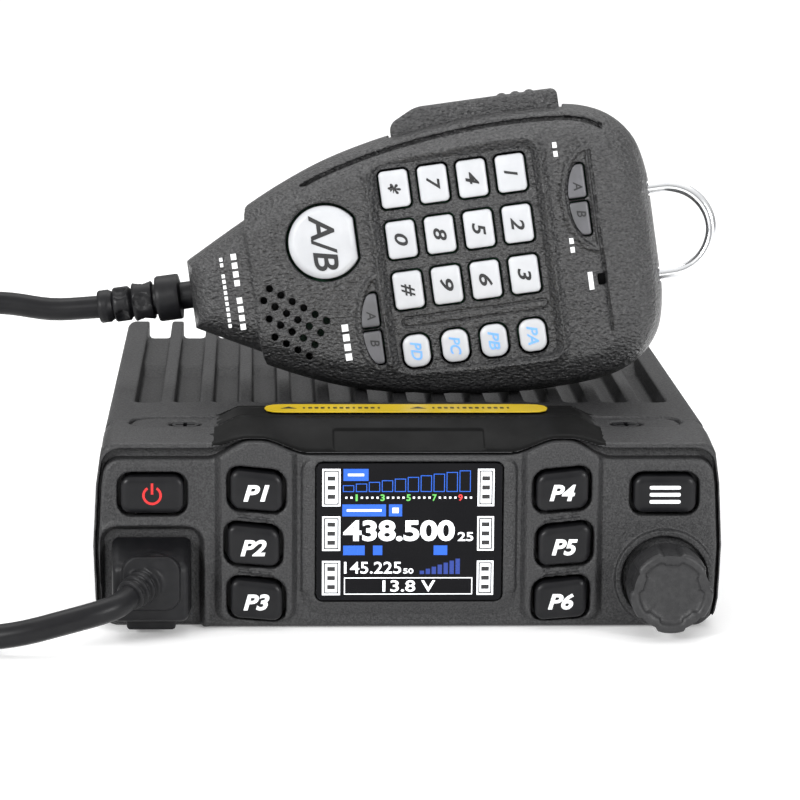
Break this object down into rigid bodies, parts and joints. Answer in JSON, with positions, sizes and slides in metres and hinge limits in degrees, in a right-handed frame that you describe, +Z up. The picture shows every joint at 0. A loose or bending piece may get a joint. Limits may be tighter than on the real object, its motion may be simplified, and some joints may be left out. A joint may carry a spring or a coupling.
{
  "type": "mobile transceiver",
  "caption": "Finned die-cast mobile transceiver with a keyed front panel, colour display and tuning knob, and its corded keypad hand microphone standing on the heatsink.",
  "frame": {"origin": "middle of the radio's flat underside", "axes": "+X to the radio's right-hand side as seen from the front, -Y out of the front panel, +Z up"},
  "size_m": [0.2183, 0.2044, 0.1064],
  "materials": {
    "black_plastic": "fine spark-eroded grain",
    "black_paint": "fine-textured black powder coat",
    "black_rubber": "smooth matte moulded",
    "cord_jacket": "smooth satin jacket",
    "smooth_black": "satin",
    "display_glass": "polished",
    "connector_black": "smooth",
    "circuit_board": "solder mask",
    "steel_dull": "satin",
    "steel_bright": "polished",
    "yellow_label": "printed film",
    "white_plastic": "satin",
    "grey_plastic": "satin"
  },
  "bodies": {
    "radio": {"front_panel": "black_plastic", "chassis": "black_paint", "bottom_cover": "black_paint", "display_lens": "display_glass", "lcd_module": "steel_dull", "control_board": "circuit_board", "main_board": "circuit_board", "rf_shield": "steel_bright", "speaker": "connector_black", "encoder": "steel_dull", "mic_jack": "connector_black", "antenna_socket": "steel_bright", "power_inlet": "black_rubber", "speaker_jack": "steel_dull", "heat_label": "yellow_label", "panel_screw_left": "steel_dull", "panel_screw_right": "steel_dull", "mic_plug": "black_rubber", "cord_upper": "cord_jacket", "cord_curl": "cord_jacket", "cord_lower": "cord_jacket"},
    "microphone": {"mic_front_shell": "black_plastic", "mic_back_shell": "black_plastic", "mic_board": "circuit_board", "mic_speaker": "steel_dull", "mic_capsule": "steel_bright", "hang_button": "steel_dull", "mic_strain_relief": "black_rubber"},
    "power_key": {"power_key": "smooth_black"},
    "menu_key": {"menu_key": "smooth_black"},
    "key_1": {"key_1": "smooth_black"},
    "key_2": {"key_2": "smooth_black"},
    "key_3": {"key_3": "smooth_black"},
    "key_4": {"key_4": "smooth_black"},
    "key_5": {"key_5": "smooth_black"},
    "key_6": {"key_6": "smooth_black"},
    "tuning_knob": {"tuning_knob": "black_rubber"},
    "mic_key_star": {"mic_key_star": "white_plastic"},
    "mic_key_7": {"mic_key_7": "white_plastic"},
    "mic_key_4": {"mic_key_4": "white_plastic"},
    "mic_key_1": {"mic_key_1": "white_plastic"},
    "mic_key_0": {"mic_key_0": "white_plastic"},
    "mic_key_8": {"mic_key_8": "white_plastic"},
    "mic_key_5": {"mic_key_5": "white_plastic"},
    "mic_key_2": {"mic_key_2": "white_plastic"},
    "mic_key_hash": {"mic_key_hash": "white_plastic"},
    "mic_key_9": {"mic_key_9": "white_plastic"},
    "mic_key_6": {"mic_key_6": "white_plastic"},
    "mic_key_3": {"mic_key_3": "white_plastic"},
    "mic_key_d": {"mic_key_d": "white_plastic"},
    "mic_key_c": {"mic_key_c": "white_plastic"},
    "mic_key_b": {"mic_key_b": "white_plastic"},
    "mic_key_a": {"mic_key_a": "white_plastic"},
    "mic_swap_key": {"mic_swap_key": "white_plastic"},
    "mic_main_key_upper": {"mic_main_key_upper": "grey_plastic"},
    "mic_main_key_lower": {"mic_main_key_lower": "grey_plastic"},
    "mic_side_key_upper": {"mic_side_key_upper": "grey_plastic"},
    "mic_side_key_lower": {"mic_side_key_lower": "grey_plastic"},
    "ptt_bar": {"ptt_bar": "black_plastic"},
    "hanger_ring": {"hanger_ring": "steel_bright"}
  },
  "joints": [
    {"name": "mic_lift", "type": "slide", "parent": "radio", "child": "microphone", "axis": [0, 0, 1], "range_m": [0, 0.06]},
    {"name": "tuning_turn", "type": "hinge", "parent": "radio", "child": "tuning_knob", "pos_m": [0.0527, -0.08, 0.0105], "axis": [0, 1, 0], "continuous": true},
    {"name": "ptt_press", "type": "hinge", "parent": "microphone", "child": "ptt_bar", "pos_m": [-0.00018, -0.01365, 0.09497], "axis": [0.0883, 0.9892, -0.1167], "range_deg": [0, 3], "stiffness_Nm_per_rad": 0.5, "springref_deg": -2.29},
    {"name": "hanger_swing", "type": "hinge", "parent": "microphone", "child": "hanger_ring", "pos_m": [0.05263, -0.02074, 0.07484], "axis": [-0.1387, 0.1282, 0.982], "range_deg": [-40, 40]},
    {"name": "power_key_press", "type": "slide", "parent": "radio", "child": "power_key", "axis": [0, 1, 0], "range_m": [0, 0.0008], "stiffness_N_per_m": 1500, "springref_m": -0.0004},
    {"name": "menu_key_press", "type": "slide", "parent": "radio", "child": "menu_key", "axis": [0, 1, 0], "range_m": [0, 0.0008], "stiffness_N_per_m": 1500, "springref_m": -0.0004},
    {"name": "key_1_press", "type": "slide", "parent": "radio", "child": "key_1", "axis": [0, 1, 0], "range_m": [0, 0.0008], "stiffness_N_per_m": 1500, "springref_m": -0.0004},
    {"name": "key_2_press", "type": "slide", "parent": "radio", "child": "key_2", "axis": [0, 1, 0], "range_m": [0, 0.0008], "stiffness_N_per_m": 1500, "springref_m": -0.0004},
    {"name": "key_3_press", "type": "slide", "parent": "radio", "child": "key_3", "axis": [0, 1, 0], "range_m": [0, 0.0008], "stiffness_N_per_m": 1500, "springref_m": -0.0004},
    {"name": "key_4_press", "type": "slide", "parent": "radio", "child": "key_4", "axis": [0, 1, 0], "range_m": [0, 0.0008], "stiffness_N_per_m": 1500, "springref_m": -0.0004},
    {"name": "key_5_press", "type": "slide", "parent": "radio", "child": "key_5", "axis": [0, 1, 0], "range_m": [0, 0.0008], "stiffness_N_per_m": 1500, "springref_m": -0.0004},
    {"name": "key_6_press", "type": "slide", "parent": "radio", "child": "key_6", "axis": [0, 1, 0], "range_m": [0, 0.0008], "stiffness_N_per_m": 1500, "springref_m": -0.0004},
    {"name": "mic_key_star_press", "type": "slide", "parent": "microphone", "child": "mic_key_star", "axis": [0.0883, 0.9892, -0.1167], "range_m": [0, 0.0008], "stiffness_N_per_m": 1500, "springref_m": -0.0004},
    {"name": "mic_key_7_press", "type": "slide", "parent": "microphone", "child": "mic_key_7", "axis": [0.0883, 0.9892, -0.1167], "range_m": [0, 0.0008], "stiffness_N_per_m": 1500, "springref_m": -0.0004},
    {"name": "mic_key_4_press", "type": "slide", "parent": "microphone", "child": "mic_key_4", "axis": [0.0883, 0.9892, -0.1167], "range_m": [0, 0.0008], "stiffness_N_per_m": 1500, "springref_m": -0.0004},
    {"name": "mic_key_1_press", "type": "slide", "parent": "microphone", "child": "mic_key_1", "axis": [0.0883, 0.9892, -0.1167], "range_m": [0, 0.0008], "stiffness_N_per_m": 1500, "springref_m": -0.0004},
    {"name": "mic_key_0_press", "type": "slide", "parent": "microphone", "child": "mic_key_0", "axis": [0.0883, 0.9892, -0.1167], "range_m": [0, 0.0008], "stiffness_N_per_m": 1500, "springref_m": -0.0004},
    {"name": "mic_key_8_press", "type": "slide", "parent": "microphone", "child": "mic_key_8", "axis": [0.0883, 0.9892, -0.1167], "range_m": [0, 0.0008], "stiffness_N_per_m": 1500, "springref_m": -0.0004},
    {"name": "mic_key_5_press", "type": "slide", "parent": "microphone", "child": "mic_key_5", "axis": [0.0883, 0.9892, -0.1167], "range_m": [0, 0.0008], "stiffness_N_per_m": 1500, "springref_m": -0.0004},
    {"name": "mic_key_2_press", "type": "slide", "parent": "microphone", "child": "mic_key_2", "axis": [0.0883, 0.9892, -0.1167], "range_m": [0, 0.0008], "stiffness_N_per_m": 1500, "springref_m": -0.0004},
    {"name": "mic_key_hash_press", "type": "slide", "parent": "microphone", "child": "mic_key_hash", "axis": [0.0883, 0.9892, -0.1167], "range_m": [0, 0.0008], "stiffness_N_per_m": 1500, "springref_m": -0.0004},
    {"name": "mic_key_9_press", "type": "slide", "parent": "microphone", "child": "mic_key_9", "axis": [0.0883, 0.9892, -0.1167], "range_m": [0, 0.0008], "stiffness_N_per_m": 1500, "springref_m": -0.0004},
    {"name": "mic_key_6_press", "type": "slide", "parent": "microphone", "child": "mic_key_6", "axis": [0.0883, 0.9892, -0.1167], "range_m": [0, 0.0008], "stiffness_N_per_m": 1500, "springref_m": -0.0004},
    {"name": "mic_key_3_press", "type": "slide", "parent": "microphone", "child": "mic_key_3", "axis": [0.0883, 0.9892, -0.1167], "range_m": [0, 0.0008], "stiffness_N_per_m": 1500, "springref_m": -0.0004},
    {"name": "mic_key_d_press", "type": "slide", "parent": "microphone", "child": "mic_key_d", "axis": [0.0883, 0.9892, -0.1167], "range_m": [0, 0.0008], "stiffness_N_per_m": 1500, "springref_m": -0.0004},
    {"name": "mic_key_c_press", "type": "slide", "parent": "microphone", "child": "mic_key_c", "axis": [0.0883, 0.9892, -0.1167], "range_m": [0, 0.0008], "stiffness_N_per_m": 1500, "springref_m": -0.0004},
    {"name": "mic_key_b_press", "type": "slide", "parent": "microphone", "child": "mic_key_b", "axis": [0.0883, 0.9892, -0.1167], "range_m": [0, 0.0008], "stiffness_N_per_m": 1500, "springref_m": -0.0004},
    {"name": "mic_key_a_press", "type": "slide", "parent": "microphone", "child": "mic_key_a", "axis": [0.0883, 0.9892, -0.1167], "range_m": [0, 0.0008], "stiffness_N_per_m": 1500, "springref_m": -0.0004},
    {"name": "mic_swap_key_press", "type": "slide", "parent": "microphone", "child": "mic_swap_key", "axis": [0.0883, 0.9892, -0.1167], "range_m": [0, 0.0008], "stiffness_N_per_m": 1500, "springref_m": -0.0004},
    {"name": "mic_main_key_upper_press", "type": "slide", "parent": "microphone", "child": "mic_main_key_upper", "axis": [0.0883, 0.9892, -0.1167], "range_m": [0, 0.0008], "stiffness_N_per_m": 1500, "springref_m": -0.0004},
    {"name": "mic_main_key_lower_press", "type": "slide", "parent": "microphone", "child": "mic_main_key_lower", "axis": [0.0883, 0.9892, -0.1167], "range_m": [0, 0.0008], "stiffness_N_per_m": 1500, "springref_m": -0.0004},
    {"name": "mic_side_key_upper_press", "type": "slide", "parent": "microphone", "child": "mic_side_key_upper", "axis": [0.0883, 0.9892, -0.1167], "range_m": [0, 0.0008], "stiffness_N_per_m": 1500, "springref_m": -0.0004},
    {"name": "mic_side_key_lower_press", "type": "slide", "parent": "microphone", "child": "mic_side_key_lower", "axis": [0.0883, 0.9892, -0.1167], "range_m": [0, 0.0008], "stiffness_N_per_m": 1500, "springref_m": -0.0004}
  ]
}
